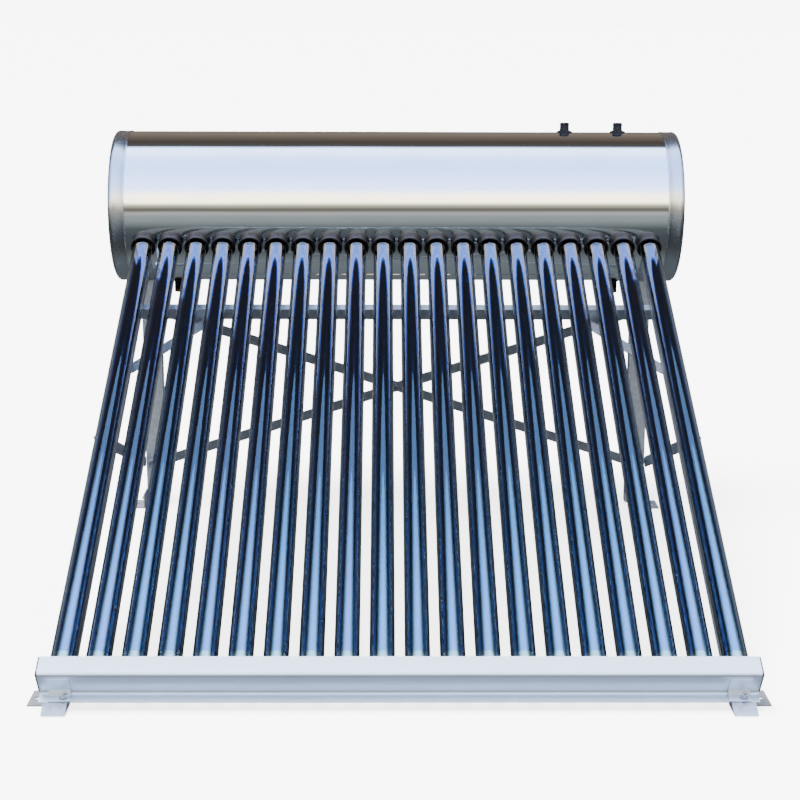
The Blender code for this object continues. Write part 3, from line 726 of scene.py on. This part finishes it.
def bolt_mesh(name):
    """A hexagon head with a chamfered top, its washer and a short stub of thread."""
    shape = bmesh.new()
    rim = 0.0095
    turned(shape, [(0, 0), (rim, 0), (rim, 0.0010), (0.0090, WASHER), (0, WASHER)], 32)
    top = WASHER + HEAD_HEIGHT
    head = [(0, WASHER), (HEAD_RADIUS, WASHER), (HEAD_RADIUS, WASHER + HEAD_HEIGHT * 0.8)]
    turned(shape, head + [(HEAD_RADIUS * 0.88, top), (0, top)], 6)
    thread = 0.0032
    tip = HEAD_HEIGHT + 0.0036
    stub = [(0, 0.001), (thread, 0.001), (thread, HEAD_HEIGHT + 0.0030), (0.0026, tip), (0, tip)]
    turned(shape, stub, 16)
    return finish_mesh(shape, name)


def add_bolt(name, point, facing):
    """A bolt head at the point, standing out along facing."""
    turn = Vector(facing).to_track_quat("Z", "Y").to_matrix().to_4x4()
    spin = Matrix.Rotation(random.uniform(0, pi / 3), 4, "Z")
    spot = Matrix.Translation(point) @ turn @ spin
    new_piece(name, bolt_mesh(name), BOLT, spot)


def bar_bolts(node):
    """A round-ended flat bar's two bolt points, its flat side's direction and that side's level."""
    mesh = frame["nodes"][node].data
    flat = max(mesh.polygons, key=lambda face: face.area)
    normal = flat.normal.copy()
    points = [vertex.co for vertex in mesh.vertices]
    centre = sum(points, Vector()) / len(points)
    far = max(points, key=lambda point: (point - centre).length)
    other = max(points, key=lambda point: (point - far).length)
    along = (other - far).normalized()
    along = (along - normal * along.dot(normal)).normalized()
    reach = [(point - centre).dot(along) for point in points]
    level = max((point - centre).dot(normal) for point in points)
    centre += along * (max(reach) + min(reach)) / 2
    half = (max(reach) - min(reach)) / 2 - BAR_END
    return centre + along * half, centre - along * half, normal, level


def make_brace_bolts():
    """Bolts through the cross braces, under the knee braces and outside the side braces."""
    under = Vector((0, sin(TILT), -cos(TILT)))
    for node in BRACES:
        first, second, normal, level = bar_bolts(node)
        if node.startswith("cross"):
            ways = (("front", normal), ("rear", -normal))
        elif node.startswith("knee"):
            ways = (("rear", under),)
        else:
            ways = (("front", Vector((1 if node.endswith("right") else -1, 0, 0))),)
            level = size(node).x / 2
        for end, point in (("low", first), ("high", second)):
            for side, way in ways:
                add_bolt(f"bolt_{node}_{end}_{side}", point + way * level, way)


def make_clip_bolts(side, up):
    """Two bolts through a rail clip, the upper one a little proud of the lower one."""
    x = middle("rail_clip_" + side).x
    top = slope_range("bottom_rail", 2)[0] + RAIL_SHEET + 0.0023
    low = slope_range("rail_clip_left", 1)[0]
    add_bolt(f"bolt_clip_{side}_a", SLOPE @ Vector((x + 0.009, low + 0.0075, top)), up)
    add_bolt(f"bolt_clip_{side}_b", SLOPE @ Vector((x + 0.013, low + 0.0215, top + 0.0006)), up)


def make_cradle_bolts(side, up):
    """Three bolts where a cradle laps its side rail."""
    x = middle("cradle_" + side).x
    low = slope_range("cradle_" + side, 1)[0]
    top = slope_range("side_rail_" + side, 2)[1] + 0.0033
    for along in (0.030, 0.110, 0.170):
        spot = SLOPE @ Vector((x, low + along, top))
        add_bolt(f"bolt_cradle_{side}_{int(along * 1000)}", spot, up)


def make_foot_bolts(end, side, sign):
    """Two bolts through a foot's upright tab."""
    height = 0.030
    low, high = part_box(f"foot_{end}_{side}")
    x = high.x - FOOT_SHEET if sign < 0 else low.x + FOOT_SHEET
    for share in (0.25, 0.75):
        spot = Vector((x, low.y + (high.y - low.y) * share, height))
        add_bolt(f"bolt_foot_{end}_{side}_{int(share * 100)}", spot, Vector((sign, 0, 0)))


def make_bolts():
    """Bolts at the braces' ends, the clips, the cradles' laps and the feet."""
    make_brace_bolts()
    up = Vector((0, -sin(TILT), cos(TILT)))
    for side, sign in (("left", -1), ("right", 1)):
        make_clip_bolts(side, up)
        make_cradle_bolts(side, up)
        for end in ("front", "rear"):
            make_foot_bolts(end, side, sign)


# ---------------------------------------------------------------- carried-over frame
FRAME_FINISH = {
    ZINC: BRACES + (
        "side_rail_left", "side_rail_right", "cradle_left", "cradle_right",
        "rear_leg_left", "rear_leg_right", "rear_crossbar",
        "foot_front_left", "foot_front_right", "foot_rear_left", "foot_rear_right",
    ),
    PALE: ("rail_clip_left", "rail_clip_right"),
    CAP_BLACK: ("rail_end_cap_left", "rail_end_cap_right"),
    SATIN: ("inner_tank", "vent_socket", "fill_socket"),
    BLACK: ("hot_socket", "cold_socket"),
    BOLT: ("cross_brace_bolt",),
    FOAM: ("foam_insulation",),
}


def finish_frame():
    """Gives the CAD nodes that stay their detailed materials."""
    for material, names in FRAME_FINISH.items():
        for name in names:
            data = frame["nodes"][name].data
            data.materials.clear()
            data.materials.append(material)


# ---------------------------------------------------------------- studio
FLOOR_RADIUS = 400
FLOOR_GLOW = 3.6
SKY_STRENGTH = 5.6
AMBIENT = 0.42
BACKDROP = 8.0
BACKDROP_COLOUR = (0.97, 0.985, 1.0)
FLANK_COLOUR = (0.05, 0.065, 0.085)

# What the steel and the glass mirror, by direction: 0 degrees is the horizon on the camera's side,
# 90 is overhead and 180 is the horizon behind.
SKY = (
    (-180, (0.020, 0.022, 0.026)),
    (-86, (0.029, 0.035, 0.039)),
    (-62, (0.012, 0.013, 0.013)),
    (-42, (0.012, 0.014, 0.018)),
    (-29, (0.018, 0.022, 0.023)),
    (-17, (0.055, 0.065, 0.068)),
    (-10, (0.065, 0.075, 0.078)),
    (-4.5, (0.105, 0.105, 0.103)),
    (-1, (0.035, 0.032, 0.028)),
    (2, (0.035, 0.032, 0.028)),
    (7.5, (0.155, 0.155, 0.120)),
    (13, (1.00, 0.90, 0.62)),
    (23, (1.00, 0.86, 0.72)),
    (31, (0.47, 0.63, 1.00)),
    (47, (0.37, 0.52, 0.95)),
    (64, (0.29, 0.43, 0.82)),
    (82, (0.31, 0.46, 0.86)),
    (98, (0.47, 0.65, 1.00)),
    (105, (0.47, 0.65, 1.00)),
    (111, (0.017, 0.018, 0.018)),
    (122, (0.015, 0.012, 0.010)),
    (150, (0.045, 0.037, 0.030)),
    (180, (0.045, 0.037, 0.030)),
)

# Name, turns about X and Y in degrees, power, angular width in degrees.
SUNS = (
    ("key", 4, -14, 16.0, 35),
    ("fill", 58, 30, 0.45, 60),
    ("back_fill", -48, 10, 1.0, 60),
)

# Name, near and far edge in Y, colour, radiance.
PANELS = (
    ("tube_panel", -9.0, 7.6, (0.28, 0.72, 1.0), 4.4),
    ("tube_panel_edge", 7.6, 9.2, (0.45, 0.78, 1.0), 1.5),
)
PANEL_HEIGHT = 20.0
PANEL_WIDTH = 60.0
PANEL_TURN = radians(4)

LENS = 78.5
SENSOR = 36
CAMERA_PLACE = (-0.0352, -4.6522, 1.5099)
CAMERA_PITCH = radians(90 - 12.306)
CAMERA_YAW = radians(-0.516)
CAMERA_ROLL = radians(0.181)


def make_floor():
    """A wide pale floor, bright to the camera and dark to the light that bounces off it."""
    shape = bmesh.new()
    bmesh.ops.create_circle(shape, cap_ends=True, segments=96, radius=FLOOR_RADIUS)
    mesh = bpy.data.meshes.new("floor")
    shape.to_mesh(mesh)
    shape.free()
    floor = bpy.data.objects.new("floor", mesh)
    bpy.context.scene.collection.objects.link(floor)
    n = Paint("floor_paint")
    grain = n.noise(n.coords(), 30, detail=4)
    seen = n.add("ShaderNodeLightPath").outputs["Is Camera Ray"]
    paint = n.mix(grain, (0.86, 0.86, 0.86), (0.89, 0.89, 0.89))
    n.set(Base_Color=n.mix(seen, (0.05, 0.05, 0.055), paint), Roughness=0.9)
    glow = n.math("MULTIPLY", seen, FLOOR_GLOW)
    n.set(Emission_Color=(1.0, 1.0, 1.0, 1.0), Emission_Strength=glow)
    mesh.materials.append(n.material)
    floor.visible_glossy = False


def make_world():
    """A sky laid out by direction for the mirrored light, and plain light for all the rest."""
    world = bpy.data.worlds.new("studio")
    bpy.context.scene.world = world
    world.use_nodes = True
    n = Nodes(world.node_tree)
    background = n.tree.nodes["Background"]
    parts = n.add("ShaderNodeSeparateXYZ")
    n.link(n.add("ShaderNodeTexCoord").outputs["Generated"], parts.inputs["Vector"])
    front = n.math("MULTIPLY", parts.outputs["Y"], -1.0)
    angle = n.math("ARCTAN2", parts.outputs["Z"], front)
    degrees = n.math("MULTIPLY", angle, 180 / pi)
    side = n.math("ABSOLUTE", parts.outputs["X"])
    beyond = n.spread(degrees, 135.0, 140.0, 0.0, 1.0)
    flank = n.math("MULTIPLY", beyond, n.spread(side, 0.52, 0.60, 0.0, 1.0))
    bent = n.math("SUBTRACT", degrees, n.math("MULTIPLY", parts.outputs["X"], 6.0))
    share = n.spread(bent, -180.0, 180.0, 0.0, 1.0)
    sky = n.ramp(share, [((turn + 180.0) / 360.0, colour) for turn, colour in SKY])
    rays = n.add("ShaderNodeLightPath")
    camera, diffuse = rays.outputs["Is Camera Ray"], rays.outputs["Is Diffuse Ray"]
    faded = n.mix(n.spread(side, 0.35, 0.72, 0.0, 0.5), sky, (0.0, 0.0, 0.0))
    mirrored = n.mix(flank, faded, FLANK_COLOUR)
    plain = n.math("MAXIMUM", camera, diffuse)
    n.link(n.mix(plain, mirrored, BACKDROP_COLOUR), background.inputs["Color"])
    unseen = n.spread(diffuse, 0.0, 1.0, SKY_STRENGTH, AMBIENT)
    strength = n.math("MAXIMUM", unseen, n.math("MULTIPLY", camera, BACKDROP))
    n.link(strength, background.inputs["Strength"])


def make_suns():
    """A broad soft key and two fills, kept out of the reflections."""
    for name, about_x, about_y, power, spread in SUNS:
        data = bpy.data.lights.new(name, "SUN")
        data.energy = power
        data.angle = radians(spread)
        lamp = bpy.data.objects.new(name, data)
        lamp.rotation_euler = (radians(about_x), radians(about_y), 0)
        lamp.visible_glossy = False
        lamp.visible_transmission = False
        bpy.context.scene.collection.objects.link(lamp)


def make_panels():
    """Overhead panels that light the tubes alone."""
    tubes = bpy.data.collections.new("lit_by_panels")
    for number in TUBES:
        tubes.objects.link(bpy.data.objects["tube_outer_" + number])
        tubes.objects.link(bpy.data.objects["tube_absorber_" + number])
    turn = Matrix.Rotation(PANEL_TURN, 4, "Z")
    for name, near, far, colour, radiance in PANELS:
        data = bpy.data.lights.new(name, "AREA")
        data.shape = "RECTANGLE"
        data.size = PANEL_WIDTH
        data.size_y = far - near
        data.energy = radiance * pi * data.size * data.size_y
        data.color = colour
        lamp = bpy.data.objects.new(name, data)
        lamp.matrix_world = turn @ Matrix.Translation((0, (near + far) / 2, PANEL_HEIGHT))
        lamp.light_linking.receiver_collection = tubes
        bpy.context.scene.collection.objects.link(lamp)


def make_camera():
    """The photograph's view: from the front, a little left of centre, looking slightly down."""
    data = bpy.data.cameras.new("camera")
    data.lens = LENS
    data.sensor_width = SENSOR
    camera = bpy.data.objects.new("camera", data)
    pitch = Matrix.Rotation(CAMERA_PITCH, 4, "X")
    yaw = Matrix.Rotation(CAMERA_YAW, 4, "Z")
    roll = Matrix.Rotation(CAMERA_ROLL, 4, "Z")
    camera.matrix_world = Matrix.Translation(CAMERA_PLACE) @ yaw @ pitch @ roll
    bpy.context.scene.collection.objects.link(camera)
    bpy.context.scene.camera = camera


make_camera()
make_wrap()
make_seam()
make_end_caps()
make_dust_rings()
make_tubes()
make_tail_cups()
make_ports()
make_bottom_rail()
make_bolts()
finish_frame()
make_floor()
make_world()
make_suns()
make_panels()
